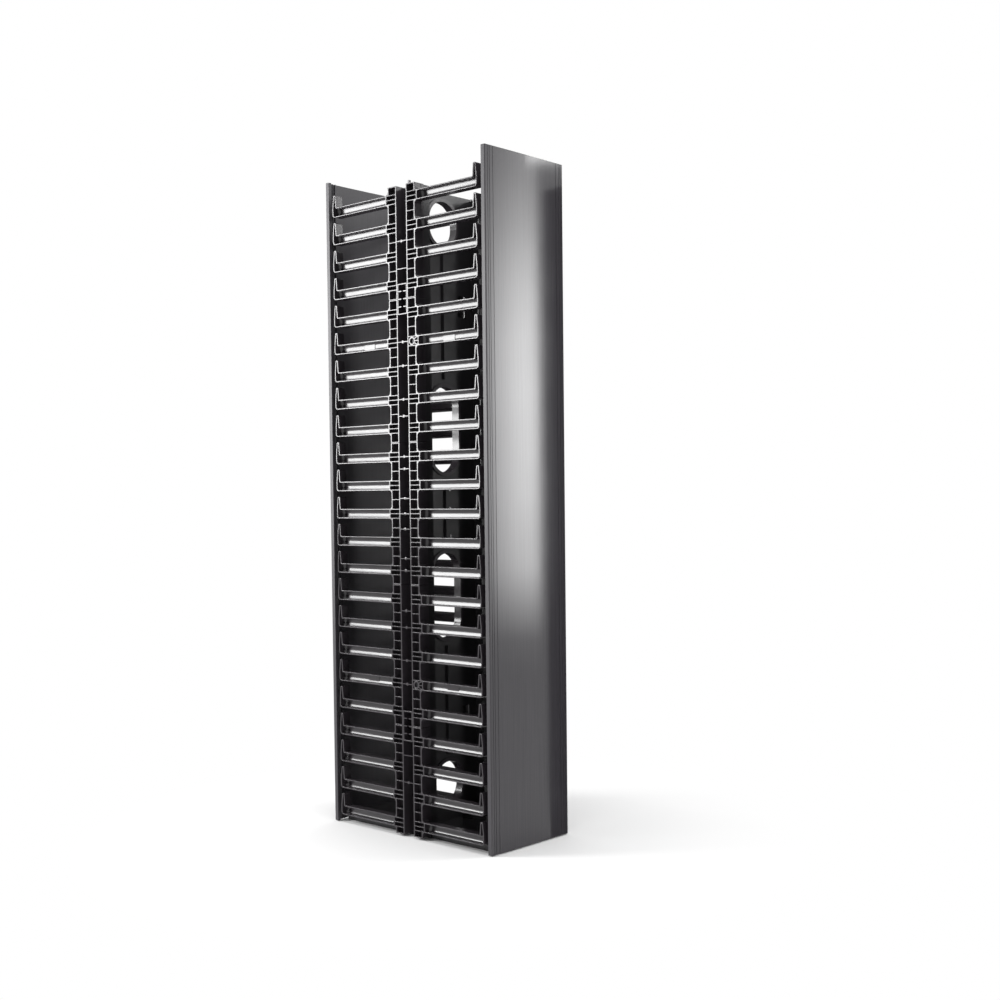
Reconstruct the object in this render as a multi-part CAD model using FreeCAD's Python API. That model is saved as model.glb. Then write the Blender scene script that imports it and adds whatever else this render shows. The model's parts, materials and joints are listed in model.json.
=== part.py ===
import FreeCAD, Part
import math
import os

# Vertical cable manager, free standing, 22 rack units tall, front and rear channels.
# Millimetres. The origin is on the floor under the middle of the unit.
# X runs across the doors, Y from the front door to the rear door, Z up.

# Overall size
unit_width = 178.0
unit_depth = 356.0
unit_height = 1050.0
rack_unit = 44.45

# Doors: one long extrusion each, with a hinge groove along both upright edges
door_floor_gap = 1.5
door_sheet = 2.2
door_crown = 0.8
door_corner_radius = 1.5
lip_depth = 8.5
pin_inset = 9.0
pin_depth = 6.2
pin_radius = 3.0
pin_clearance = 0.08
groove_wall = 1.8
groove_start_angle = 205.0
groove_end_angle = 372.0
mouth_slack = 0.3
inner_rib_inset = 17.5
inner_rib_thickness = 1.5
rib_clearance = 0.4
corner_cell_wall = 1.6
face_line_insets = [6.0, 10.0, 17.2]
face_line_width = 0.8
face_line_depth = 0.45

# Cable fingers, one rack unit apart in four columns
fingers_per_column = 23
section_sizes = [4, 5, 5, 5, 4]
bottom_finger_height = 21.3
finger_bar_height = 15.6
finger_wall = 1.6
finger_pocket_depth = 15.0
finger_heel = 4.0
finger_root_corner = 3.5
tip_door_distance = 17.0
tip_rise = 35.5
tip_lean = 2.2
tip_top_width = 5.2
tip_root_width = 9.0

# Upright band of the comb that carries the fingers
band_inner = 10.7
band_outer = 30.0
band_rail = 1.6
band_rib = 1.4
band_pocket_depth = 11.0
section_seam = 0.3
comb_bottom = 3.5
comb_top = 1019.0
boss_fingers = [5, 17]
boss_radius = 6.6
boss_recess_depth = 5.0

# Side posts: folded channels whose webs carry the combs
post_web_inset = 20.0
post_sheet = 1.5
post_half_width = 29.0
post_flange = 12.0
post_top = 1018.0
rack_hole_radius = 3.4
rack_hole_low = 65.75
rack_hole_spacing = 889.0

# Ribbed bridge plates between the front and the rear combs
bridge_height = 48.0
bridge_thickness = 8.0
bridge_clearance = 0.3
bridge_rib = 1.4
bridge_rows = 3
bridge_pocket_depth = 4.0

# Thin ties across the channel between the combs, measured from the middle finger
tie_offsets = [24.0, 70.0, 89.0, 152.0, 178.0, 230.0, 267.0, 380.0]
tie_height = 1.2
tie_thickness = 3.0

# Mid panel with its cable pass-throughs
panel_sheet = 1.5
panel_flange = 16.0
panel_screw_rows = 3
panel_screw_pitch = 355.6
panel_screw_inset = 8.0
panel_top = 1020.0
opening_radius = 33.5
short_opening_height = 76.0
tall_opening_height = 143.0
tall_opening_offset = 133.4
top_opening_height = 971.0
bottom_opening_height = 73.5
window_inset = 42.0
window_width = 16.0
window_height = 34.0
slot_width = 3.0
slot_height = 18.0

# Moulded collars round the pass-throughs
collar_wall = 2.6
collar_depth = 14.5
collar_lip = 3.0
collar_lip_thickness = 2.4
collar_fit = 0.3

# Upright stiffening ribs on the panel's centre line
stiffener_width = 8.0
stiffener_height = 4.0
stiffener_gap = 6.0

# Base tray
base_half_depth = 168.0
base_height = 12.0
base_sheet = 2.0
base_fold_radius = 4.0
edge_tolerance = 0.001
anchor_radius = 6.0
anchor_spacing_x = 90.0
anchor_spacing_y = 290.0

# Angle brackets that stand the panel on the base
bracket_width = 30.0
bracket_leg = 22.0
bracket_sheet = 2.0
bracket_inset = 19.5

# Hinge clips on the finger tips
clip_fingers = [1, 21]
clip_plate = 1.6
clip_height = 8.0
clip_plate_low = 2.0
clip_reach = 19.5
clip_plate_width = 7.0
clip_neck = 2.0
neck_offset = 0.8
clip_wall = 2.4
pin_length = 16.0
plug_height = 12.0
plug_gap = 0.3

# Square-necked hexagon screws, and the small studs on top of the combs
screw_flats = 8.0
screw_head_height = 2.4
screw_neck = 4.6
screw_slack = 0.2
screw_tail = 1.0
top_stud_inset = 5.0
top_stud_side = 3.4
top_stud_height = 6.0

half_width = unit_width / 2
half_depth = unit_depth / 2
door_height = unit_height - door_floor_gap
tip_face = half_depth - tip_door_distance
middle_finger = (fingers_per_column - 1) // 2
finger_depth = post_web_inset
post_web_outer = half_width - post_web_inset
post_web_inner = post_web_outer - post_sheet
bracket_middle = post_web_inner - bracket_inset
groove_radius = pin_radius + pin_clearance
pin_x = half_width - pin_inset
pin_y = half_depth - pin_depth


def finger_height(number):
    return bottom_finger_height + number * rack_unit


frame_middle = finger_height(middle_finger)

# Seams between the end sections of the combs and their neighbours, where the bridge plates sit
bridge_seams = [
    finger_height(section_sizes[0]) - rack_unit / 2,
    finger_height(fingers_per_column - section_sizes[-1]) - rack_unit / 2,
]


def block(x0, x1, y0, y1, z0, z1):
    low = FreeCAD.Vector(min(x0, x1), min(y0, y1), min(z0, z1))
    return Part.makeBox(abs(x1 - x0), abs(y1 - y0), abs(z1 - z0), low)


def upright_cylinder(radius, x, y, z0, z1):
    return Part.makeCylinder(radius, z1 - z0, FreeCAD.Vector(x, y, z0))


def cross_cylinder(radius, x0, x1, y, z):
    start = FreeCAD.Vector(min(x0, x1), y, z)
    return Part.makeCylinder(radius, abs(x1 - x0), start, FreeCAD.Vector(1, 0, 0))


def side_prism(points, x0, x1):
    # A flat outline in Y and Z, given thickness along X
    corners = [FreeCAD.Vector(x0, y, z) for y, z in points]
    face = Part.Face(Part.makePolygon(corners + [corners[0]]))
    return face.extrude(FreeCAD.Vector(x1 - x0, 0, 0))


def square_hole_across(x0, x1, y, z):
    half = screw_neck / 2 + screw_slack
    return block(x0, x1, y - half, y + half, z - half, z + half)


def square_hole_upright(x, y, z0, z1):
    half = screw_neck / 2 + screw_slack
    return block(x - half, x + half, y - half, y + half, z0, z1)


def hexagon_prism(flats, height):
    # Standing on the XY plane, with two of its corners on the X axis
    radius = flats / math.sqrt(3)
    turns = [math.radians(60 * corner) for corner in range(6)]
    corners = [FreeCAD.Vector(radius * math.cos(turn), radius * math.sin(turn), 0) for turn in turns]
    return Part.Face(Part.makePolygon(corners + [corners[0]])).extrude(FreeCAD.Vector(0, 0, height))


def place(shape, x, y, z, direction=(0, 0, 1)):
    # Stands a shape that was made along Z at a point, along another direction
    placed = shape.copy()
    turn = FreeCAD.Rotation(FreeCAD.Vector(0, 0, 1), FreeCAD.Vector(*direction))
    placed.Placement = FreeCAD.Placement(FreeCAD.Vector(x, y, z), turn)
    return placed


def screw(grip):
    # Hexagon head above the XY plane, square neck below it
    head = hexagon_prism(screw_flats, screw_head_height)
    half = screw_neck / 2
    return head.fuse(block(-half, half, -half, half, -grip, 0))


def mirror_x(shape):
    return shape.mirror(FreeCAD.Vector(0, 0, 0), FreeCAD.Vector(1, 0, 0))


def mirror_y(shape):
    return shape.mirror(FreeCAD.Vector(0, 0, 0), FreeCAD.Vector(0, 1, 0))


def half_turn(shape):
    turned = shape.copy()
    turned.rotate(FreeCAD.Vector(0, 0, 0), FreeCAD.Vector(0, 0, 1), 180)
    return turned


def write(name, shapes):
    solids = [solid for shape in shapes for solid in shape.Solids]
    body = solids[0] if len(solids) == 1 else Part.makeCompound(solids)
    body.exportStep("parts/" + name + ".step")
    faces = sum(len(solid.Faces) for solid in solids)
    print(name, len(solids), "solids", faces, "faces")


# Cable comb

def finger_outline(z):
    # One finger from the top of its root, out along the bar, round the tip and back
    top = z + finger_bar_height / 2
    low = z - finger_bar_height / 2
    return [
        (band_outer, top + finger_root_corner),
        (band_outer + finger_root_corner, top),
        (tip_face - tip_root_width, top),
        (tip_face - tip_lean - tip_top_width, low + tip_rise),
        (tip_face - tip_lean, low + tip_rise),
        (tip_face, low + finger_heel),
        (tip_face - finger_heel, low),
        (band_outer + finger_root_corner, low),
        (band_outer, low - finger_root_corner),
    ]


def comb_outline(first, count, z_low, z_high):
    # The side view of one comb section, from the top of its band down the fingers
    points = [(band_inner, z_high), (band_outer, z_high)]
    for number in range(first + count - 1, first - 1, -1):
        points += finger_outline(finger_height(number))
    return points + [(band_outer, z_low), (band_inner, z_low)]


def finger_pocket(z):
    # The hollow of one finger, open to the outside of the unit, from the band's rail to the tip
    top = z + finger_bar_height / 2 - finger_wall
    low = z - finger_bar_height / 2 + finger_wall
    points = [
        (band_inner + band_rail, low),
        (tip_face - finger_heel, low),
        (tip_face - finger_wall, low + finger_heel - finger_wall),
        (tip_face - finger_wall, top),
        (band_inner + band_rail, top),
    ]
    return side_prism(points, -half_width, -half_width + finger_pocket_depth)


def band_pockets(first, count, z_low, z_high):
    # Pockets in the band between the bars
    pockets = []
    for number in range(first - 1, first + count):
        low = max(finger_height(number) + finger_bar_height / 2, z_low + band_rib)
        high = min(finger_height(number + 1) - finger_bar_height / 2, z_high - band_rib)
        pockets.append(block(-half_width, -half_width + band_pocket_depth,
                             band_inner + band_rail, band_outer - band_rail, low, high))
    return pockets


def with_boss(comb, number):
    # A round screw boss in the root of one finger, with a hexagon recess for the screw head
    y = (band_inner + band_outer) / 2
    z = finger_height(number)
    boss = cross_cylinder(boss_radius, -half_width, -half_width + finger_pocket_depth, y, z)
    recess = hexagon_prism(screw_flats + 2 * screw_slack, boss_recess_depth)
    recess = place(recess, -half_width, y, z, (1, 0, 0))
    hole = square_hole_across(-half_width, -half_width + finger_depth, y, z)
    return comb.fuse(boss).cut([recess, hole]).removeSplitter()


def comb_section(first, count, bossed):
    z_low = finger_height(first) - rack_unit / 2 + section_seam / 2
    z_high = finger_height(first + count - 1) + rack_unit / 2 - section_seam / 2
    if first == 0:
        z_low = comb_bottom
    if first + count == fingers_per_column:
        z_high = comb_top
    comb = side_prism(comb_outline(first, count, z_low, z_high), -half_width, -half_width + finger_depth)
    cuts = band_pockets(first, count, z_low, z_high)
    for number in range(first, first + count):
        cuts.append(finger_pocket(finger_height(number)))
    comb = comb.cut(cuts)
    for number in boss_fingers:
        if bossed and first <= number < first + count:
            comb = with_boss(comb, number)
    return comb


def write_combs():
    first = 0
    for level, count in enumerate(section_sizes, 1):
        plain = comb_section(first, count, False)
        bossed = comb_section(first, count, True)
        write("rear_left_comb_%d" % level, [plain])
        write("front_right_comb_%d" % level, [half_turn(plain)])
        write("front_left_comb_%d" % level, [mirror_y(bossed)])
        write("rear_right_comb_%d" % level, [half_turn(mirror_y(bossed))])
        first += count


def write_comb_screws():
    seat = -half_width + boss_recess_depth
    grip = -post_web_inner + screw_tail - seat
    screws = []
    for number in boss_fingers:
        y = -(band_inner + band_outer) / 2
        comb_screw = place(screw(grip), seat, y, finger_height(number), (-1, 0, 0))
        screws += [comb_screw, half_turn(comb_screw)]
    write("comb_screws", screws)


# Side posts, with the bridge plates and ties between their combs

def side_post(panel_side):
    # The left post; panel_side says to which side of the middle the panel's flange is screwed
    web = block(-post_web_outer, -post_web_inner, -post_half_width, post_half_width, 0, post_top)
    post = web
    flange_end = -post_web_inner + post_flange
    for side in (1, -1):
        outer = side * post_half_width
        inner = side * (post_half_width - post_sheet)
        post = post.fuse(block(-post_web_inner, flange_end, outer, inner, base_height, post_top))
    cuts = []
    for z in (rack_hole_low, rack_hole_low + rack_hole_spacing):
        cuts.append(cross_cylinder(rack_hole_radius, -post_web_outer, -post_web_inner, 0, z))
    for number in boss_fingers:
        y = -(band_inner + band_outer) / 2
        cuts.append(square_hole_across(-post_web_outer, -post_web_inner, y, finger_height(number)))
    for z in panel_screw_heights():
        cuts.append(square_hole_across(-post_web_outer, -post_web_inner, panel_side * panel_screw_inset, z))
    return post.cut(cuts).removeSplitter()


def bridge_plate(middle):
    # A small ladder of ribs that joins the inner rails of the two combs
    half = band_inner - bridge_clearance
    outer = -half_width
    bottom = middle - bridge_height / 2
    plate = block(outer, outer + bridge_thickness, -half, half, bottom, bottom + bridge_height)
    pitch = (bridge_height - bridge_rib) / bridge_rows
    cuts = []
    for row in range(bridge_rows):
        low = bottom + bridge_rib + row * pitch
        for side in (1, -1):
            cuts.append(block(outer, outer + bridge_pocket_depth, side * bridge_rib / 2,
                              side * (half - bridge_rib), low, low + pitch - bridge_rib))
    return plate.cut(cuts)


def post_tie(z):
    half = band_inner - bridge_clearance
    low = z - tie_height / 2
    return block(-half_width, -half_width + tie_thickness, -half, half, low, low + tie_height)


def write_sides():
    bridges = [bridge_plate(seam) for seam in bridge_seams]
    heights = [frame_middle]
    for offset in tie_offsets:
        heights += [frame_middle - offset, frame_middle + offset]
    ties = [post_tie(z) for z in heights]
    stud_near = -half_width + top_stud_inset
    stud = block(stud_near, stud_near + top_stud_side, -band_inner, -band_inner - top_stud_side,
                 comb_top, comb_top + top_stud_height)
    write("left_post", [side_post(1)])
    write("right_post", [half_turn(side_post(-1))])
    write("left_bridge_plates", bridges)
    write("right_bridge_plates", [half_turn(bridge) for bridge in bridges])
    write("left_channel_ties", ties)
    write("right_channel_ties", [half_turn(tie) for tie in ties])
    write("top_locating_studs", [stud, half_turn(stud)])


# Mid panel

def oblong(radius, height, middle, y0, y1):
    # An upright slot shape with round ends, given length along Y
    reach = height / 2 - radius
    low = FreeCAD.Vector(0, y0, middle - reach)
    high = FreeCAD.Vector(0, y0, middle + reach)
    side = FreeCAD.Vector(radius, 0, 0)
    up = FreeCAD.Vector(0, 0, radius)
    edges = [
        Part.LineSegment(low + side, high + side).toShape(),
        Part.Arc(high + side, high + up, high - side).toShape(),
        Part.LineSegment(high - side, low - side).toShape(),
        Part.Arc(low - side, low - up, low + side).toShape(),
    ]
    return Part.Face(Part.Wire(edges)).extrude(FreeCAD.Vector(0, y1 - y0, 0))


openings = [
    ("bottom", bottom_opening_height, short_opening_height),
    ("lower", frame_middle - tall_opening_offset, tall_opening_height),
    ("upper", frame_middle + tall_opening_offset, tall_opening_height),
    ("top", top_opening_height, short_opening_height),
]


def panel_screw_heights():
    lowest = frame_middle - panel_screw_pitch * (panel_screw_rows - 1) / 2
    return [lowest + row * panel_screw_pitch for row in range(panel_screw_rows)]


def mid_panel():
    half = panel_sheet / 2
    edge = post_web_inner
    panel = block(-edge, edge, -half, half, base_height, panel_top)
    for side in (1, -1):
        inner = side * (edge - panel_sheet)
        panel = panel.fuse(block(side * edge, inner, -half, panel_flange, base_height, panel_top))
    top_fold = block(-edge, edge, -half, panel_flange / 2, panel_top - panel_sheet, panel_top)
    panel = panel.fuse(top_fold)
    cuts = []
    for name, middle, height in openings:
        cuts.append(oblong(opening_radius, height, middle, -half, half))
    for z in bridge_seams:
        for side in (1, -1):
            x = side * window_inset
            cuts.append(block(x - window_width / 2, x + window_width / 2, -half, half,
                              z - window_height / 2, z + window_height / 2))
    for z in (frame_middle - rack_unit, frame_middle, frame_middle + rack_unit):
        x = stiffener_width / 2 + stiffener_gap
        cuts.append(block(x, x + slot_width, -half, half, z - slot_height / 2, z + slot_height / 2))
    for z in panel_screw_heights():
        for side in (1, -1):
            cuts.append(square_hole_across(side * edge, side * (edge - panel_sheet), panel_screw_inset, z))
    return panel.cut(cuts).removeSplitter()


def collar(middle, height):
    # A moulded ring through the panel, with its lip on the front face
    tube_outer = opening_radius - collar_fit
    tube_inner = tube_outer - collar_wall
    tube_height = height - 2 * collar_fit
    back = -panel_sheet / 2
    front = back - collar_lip_thickness
    tube = oblong(tube_outer, tube_height, middle, front, front + collar_depth)
    lip = oblong(tube_outer + collar_lip, tube_height + 2 * collar_lip, middle, front, back)
    bore = oblong(tube_inner, tube_height - 2 * collar_wall, middle, front, front + collar_depth)
    return tube.fuse(lip).cut(bore).removeSplitter()


def panel_stiffeners():
    # Short upright ribs between the pass-throughs, on the front of the panel
    half = panel_sheet / 2
    reach = collar_lip + stiffener_gap
    spans = []
    for below, above in zip(openings[:-1], openings[1:]):
        spans.append((below[1] + below[2] / 2 + reach, above[1] - above[2] / 2 - reach))
    ribs = []
    for low, high in spans:
        points = [
            (-stiffener_width / 2, -half),
            (-stiffener_width / 4, -half - stiffener_height),
            (stiffener_width / 4, -half - stiffener_height),
            (stiffener_width / 2, -half),
        ]
        corners = [FreeCAD.Vector(x, y, low) for x, y in points]
        face = Part.Face(Part.makePolygon(corners + [corners[0]]))
        ribs.append(face.extrude(FreeCAD.Vector(0, 0, high - low)))
    return ribs


def panel_screws():
    seat = -post_web_inner + panel_sheet
    grip = panel_sheet + post_sheet + screw_tail
    screws = []
    for z in panel_screw_heights():
        left_screw = place(screw(grip), seat, panel_screw_inset, z, (1, 0, 0))
        screws += [left_screw, mirror_x(left_screw)]
    return screws


def write_panel():
    write("mid_panel", [mid_panel()])
    write("panel_stiffeners", panel_stiffeners())
    write("pass_through_collars", [collar(middle, height) for name, middle, height in openings])
    write("panel_screws", panel_screws())


# Base tray and the brackets on it

def base_tray():
    # A shallow tray, open side down, with rounded folds along its two sides
    edge = post_web_inner
    outer = block(-edge, edge, -base_half_depth, base_half_depth, 0, base_height)
    folds = [line for line in outer.Edges
             if line.CenterOfMass.z > base_height - edge_tolerance
             and abs(line.CenterOfMass.x) > edge - edge_tolerance]
    outer = outer.makeFillet(base_fold_radius, folds)
    inner = block(-edge + base_sheet, edge - base_sheet, -base_half_depth + base_sheet,
                  base_half_depth - base_sheet, 0, base_height - base_sheet)
    cuts = [inner]
    for x in (-anchor_spacing_x / 2, anchor_spacing_x / 2):
        for y in (-anchor_spacing_y / 2, anchor_spacing_y / 2):
            cuts.append(upright_cylinder(anchor_radius, x, y, 0, base_height))
    y = panel_sheet / 2 + bracket_leg / 2
    cuts += four_corners(square_hole_upright(bracket_middle, y, 0, base_height))
    return outer.cut(cuts)


def foot_bracket():
    # One angle on the front of the panel's left foot
    x = -bracket_middle
    face = panel_sheet / 2
    upright = block(x - bracket_width / 2, x + bracket_width / 2, -face, -face - bracket_sheet,
                    base_height, base_height + bracket_leg)
    flat = block(x - bracket_width / 2, x + bracket_width / 2, -face, -face - bracket_leg,
                 base_height, base_height + bracket_sheet)
    hole = square_hole_upright(x, -face - bracket_leg / 2, base_height, base_height + bracket_sheet)
    return upright.fuse(flat).removeSplitter().cut(hole)


def base_screw():
    grip = bracket_sheet + base_sheet + screw_tail
    y = -panel_sheet / 2 - bracket_leg / 2
    return place(screw(grip), -bracket_middle, y, base_height + bracket_sheet)


def four_corners(shape):
    pair = [shape, mirror_x(shape)]
    return pair + [mirror_y(item) for item in pair]


def write_base():
    write("base_tray", [base_tray()])
    write("foot_brackets", four_corners(foot_bracket()))
    write("base_screws", four_corners(base_screw()))


# Doors and their hinges

def groove_point(angle, radius):
    turn = math.radians(angle)
    return pin_inset - radius * math.cos(turn), pin_depth + radius * math.sin(turn)


def door_half_outline():
    # Half of the door's section: first number inward from the upright edge, second inward from the face
    start = groove_point(groove_end_angle, groove_radius)
    finish = groove_point(groove_start_angle, groove_radius)
    rim_radius = groove_radius + groove_wall
    rim = groove_point(groove_start_angle, rim_radius)
    bed = door_crown + door_sheet
    rib_top = pin_depth - neck_offset - rib_clearance
    rim_turn = math.degrees(math.asin((pin_depth - bed) / rim_radius))
    foot = groove_point(180 + rim_turn, rim_radius)
    return {
        "face_edge": (door_corner_radius, door_crown),
        "side_top": (0.0, door_crown + door_corner_radius),
        "side_low": (0.0, lip_depth),
        "mouth": (pin_inset - groove_radius - mouth_slack, lip_depth),
        "mouth_low": (pin_inset - groove_radius - mouth_slack, start[1]),
        "groove_in": start,
        "groove_mid": groove_point((groove_start_angle + groove_end_angle) / 2, groove_radius),
        "groove_out": finish,
        "rim": rim,
        "foot": foot,
        "rib_near": (inner_rib_inset - inner_rib_thickness / 2, bed),
        "rib_near_top": (inner_rib_inset - inner_rib_thickness / 2, rib_top),
        "rib_far_top": (inner_rib_inset + inner_rib_thickness / 2, rib_top),
        "rib_far": (inner_rib_inset + inner_rib_thickness / 2, bed),
        "inner_middle": (half_width, door_sheet),
        "face_middle": (half_width, 0.0),
    }


def crown_depth(inset):
    # How far the gently bowed face lies behind its own middle, at a distance from the edge
    span = half_width - door_corner_radius
    return door_crown * ((half_width - inset) / span) ** 2


def door_half():
    z0 = door_floor_gap
    spots = {}
    for name, (inset, depth) in door_half_outline().items():
        spots[name] = FreeCAD.Vector(half_width - inset, -half_depth + depth, z0)

    def line(start, end):
        return Part.LineSegment(spots[start], spots[end]).toShape()

    def arc(start, middle, end):
        return Part.Arc(spots[start], middle, spots[end]).toShape()

    quarter = (half_width - door_corner_radius) / 2
    face_quarter = FreeCAD.Vector(quarter, -half_depth + crown_depth(half_width - quarter), z0)
    inner_end = half_width - inner_rib_inset - inner_rib_thickness / 2
    inner_bow = door_crown * 0.5 ** 2
    inner_quarter = FreeCAD.Vector(inner_end / 2, -half_depth + door_sheet + inner_bow, z0)
    corner_x = half_width - door_corner_radius * (1 - math.sqrt(0.5))
    corner_y = -half_depth + door_crown + door_corner_radius * (1 - math.sqrt(0.5))
    edges = [
        arc("face_middle", face_quarter, "face_edge"),
        arc("face_edge", FreeCAD.Vector(corner_x, corner_y, z0), "side_top"),
        line("side_top", "side_low"),
        line("side_low", "mouth"),
        line("mouth", "mouth_low"),
        line("mouth_low", "groove_in"),
        arc("groove_in", spots["groove_mid"], "groove_out"),
        line("groove_out", "rim"),
        line("rim", "foot"),
        line("foot", "rib_near"),
        line("rib_near", "rib_near_top"),
        line("rib_near_top", "rib_far_top"),
        line("rib_far_top", "rib_far"),
        arc("rib_far", inner_quarter, "inner_middle"),
        line("inner_middle", "face_middle"),
    ]
    half = Part.Face(Part.Wire(edges)).extrude(FreeCAD.Vector(0, 0, door_height))
    cell_right = half_width - corner_cell_wall
    cell_left = half_width - pin_inset + groove_radius + mouth_slack + corner_cell_wall
    cell_front = -half_depth + door_crown + corner_cell_wall
    cell_back = -half_depth + lip_depth - corner_cell_wall
    cuts = [block(cell_left, cell_right, cell_front, cell_back, z0, z0 + door_height)]
    for inset in face_line_insets:
        middle = half_width - inset
        depth = crown_depth(inset) + face_line_depth
        cuts.append(block(middle - face_line_width / 2, middle + face_line_width / 2,
                          -half_depth - door_sheet, -half_depth + depth, z0, z0 + door_height))
    return half.cut(cuts)


def hinge_clip(number):
    # The front right clip: a foot on the finger tip, a goose neck, and an upright pin
    z = finger_height(number)
    low = z - clip_plate_low
    high = low + clip_height
    plate_near = half_width - clip_reach
    foot = block(plate_near, plate_near + clip_plate_width, -tip_face, -tip_face - clip_plate, low, high)
    neck_far = -pin_y - neck_offset
    neck_near = neck_far + clip_neck
    wall = block(plate_near, plate_near + clip_wall, -tip_face, neck_far, low, high)
    bar = block(plate_near, pin_x, neck_far, neck_near, low, high)
    pin = upright_cylinder(pin_radius, pin_x, -pin_y, low, low + pin_length)
    return foot.fuse([wall, bar, pin]).removeSplitter()


def write_doors():
    half = door_half()
    door = half.fuse(mirror_x(half)).removeSplitter()
    top_pin = finger_height(clip_fingers[-1]) - clip_plate_low + pin_length
    plug = hexagon_prism(pin_radius * math.sqrt(3), plug_height)
    plug = place(plug, pin_x, -pin_y, top_pin + plug_gap)
    plugs = [plug, mirror_x(plug)]
    clips = [hinge_clip(number) for number in clip_fingers]
    write("front_door", [door])
    write("rear_door", [half_turn(door)])
    write("front_door_plugs", plugs)
    write("rear_door_plugs", [half_turn(item) for item in plugs])
    write("front_right_hinge_clips", clips)
    write("front_left_hinge_clips", [mirror_x(clip) for clip in clips])
    write("rear_left_hinge_clips", [half_turn(clip) for clip in clips])
    write("rear_right_hinge_clips", [mirror_y(clip) for clip in clips])


os.makedirs("parts", exist_ok=True)
write_combs()
write_comb_screws()
write_sides()
write_panel()
write_base()
write_doors()
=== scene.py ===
import json
import math

import bmesh
import bpy
from mathutils import Matrix, Vector
from mathutils.geometry import tessellate_polygon


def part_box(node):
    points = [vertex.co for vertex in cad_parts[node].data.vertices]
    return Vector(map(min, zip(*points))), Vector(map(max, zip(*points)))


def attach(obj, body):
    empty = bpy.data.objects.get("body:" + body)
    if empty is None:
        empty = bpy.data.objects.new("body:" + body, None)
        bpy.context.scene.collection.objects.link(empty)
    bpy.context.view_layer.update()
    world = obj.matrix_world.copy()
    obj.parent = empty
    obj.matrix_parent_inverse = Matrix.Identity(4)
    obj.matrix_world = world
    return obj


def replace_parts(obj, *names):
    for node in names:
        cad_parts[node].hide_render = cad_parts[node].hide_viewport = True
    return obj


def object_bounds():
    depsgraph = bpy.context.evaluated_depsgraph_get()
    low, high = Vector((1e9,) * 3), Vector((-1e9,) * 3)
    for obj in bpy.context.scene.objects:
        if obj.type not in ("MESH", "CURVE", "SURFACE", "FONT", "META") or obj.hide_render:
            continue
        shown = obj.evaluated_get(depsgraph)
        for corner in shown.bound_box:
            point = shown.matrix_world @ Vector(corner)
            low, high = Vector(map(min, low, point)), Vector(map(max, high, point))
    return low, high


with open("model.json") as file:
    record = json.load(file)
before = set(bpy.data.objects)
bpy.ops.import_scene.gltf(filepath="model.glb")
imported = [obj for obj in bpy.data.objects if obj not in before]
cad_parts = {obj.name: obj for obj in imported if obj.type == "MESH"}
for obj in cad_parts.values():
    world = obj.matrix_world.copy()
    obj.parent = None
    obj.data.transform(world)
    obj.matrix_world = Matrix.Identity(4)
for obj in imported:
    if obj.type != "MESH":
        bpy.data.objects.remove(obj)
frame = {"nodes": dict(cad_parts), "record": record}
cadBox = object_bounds()
nodes = frame["nodes"]
mm = 0.001
print("frame loaded:", len(nodes), "nodes")


# small helpers

def hexColor(text):
    # "#302c30" to the linear colour that the sockets want
    values = [int(text[i:i + 2], 16) / 255 for i in (1, 3, 5)]
    return [v / 12.92 if v <= 0.04045 else ((v + 0.055) / 1.055) ** 2.4 for v in values] + [1.0]


def addNode(tree, kind, settings=None, **links):
    # one node: settings are its properties or its sockets' own values; links are what is plugged
    # into it, by the socket's name or, as in0, in1 and so on, by its number
    node = tree.nodes.new(kind)
    for name, value in (settings or {}).items():
        if name in node.inputs:
            node.inputs[name].default_value = value
        else:
            setattr(node, name, value)
    for name, source in links.items():
        numbered = name.startswith("in") and name[2:].isdigit()
        tree.links.new(source, node.inputs[int(name[2:]) if numbered else name])
    return node


def newMaterial(name, settings):
    mat = bpy.data.materials.new(name)
    mat.use_nodes = True
    tree = mat.node_tree
    shader = tree.nodes["Principled BSDF"]
    for socket, value in settings.items():
        shader.inputs[socket].default_value = value
    return mat, tree, shader


def meshPiece(name, bm, material, body="frame", smoothAngle=35):
    # turns a finished bmesh into a piece; one without a body belongs to the studio
    bmesh.ops.remove_doubles(bm, verts=bm.verts, dist=1e-6)
    bmesh.ops.recalc_face_normals(bm, faces=bm.faces)
    mesh = bpy.data.meshes.new(name)
    bm.to_mesh(mesh)
    bm.free()
    mesh.materials.append(material)
    mesh.shade_smooth()
    mesh.set_sharp_from_angle(angle=math.radians(smoothAngle))
    piece = bpy.data.objects.new(name, mesh)
    bpy.context.scene.collection.objects.link(piece)
    # keeps the flats flat beside their rounded rims
    weighted = piece.modifiers.new("flatFaces", "WEIGHTED_NORMAL")
    weighted.keep_sharp = True
    if body:
        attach(piece, body)
    return piece


# materials

plastic = {
    "color": "#343034",          # moulded comb plastic, a very slightly warm black
    "flow": 60 * mm,             # length of the cloudy flow marks
    "toneStops": (0.3, 0.7),     # where in them the colour is darkest and lightest
    "toneShares": (0.82, 1.15),  # and how dark and light it is there
    "gloss": (0.16, 0.24),       # roughness, drifting with the flow marks
    "grit": 0.35 * mm,           # spark-eroded mould texture, twice as coarse as real so that it shows
    "gritHeight": 0.020 * mm,
}

extrusion = {
    "color": "#39373b",          # rigid PVC of the doors
    "drawLine": 1.6 * mm,        # spacing of the faint lines that the die leaves along the length
    "lineStretch": 0.012,        # how little they change along the height
    "lineHeight": 0.012 * mm,
    "toneStops": (0.35, 0.65),
    "toneShares": (0.9, 1.12),
    "haze": 111 * mm,            # size of the patches of handling haze
    "gloss": (0.07, 0.11),
    "skin": 1.4 * mm,            # what lies deeper than this is inside the door or on its edges
    "skinFade": 0.4 * mm,
    "dullInside": 0.36,          # added roughness there, because no polished die touches it
}

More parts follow.
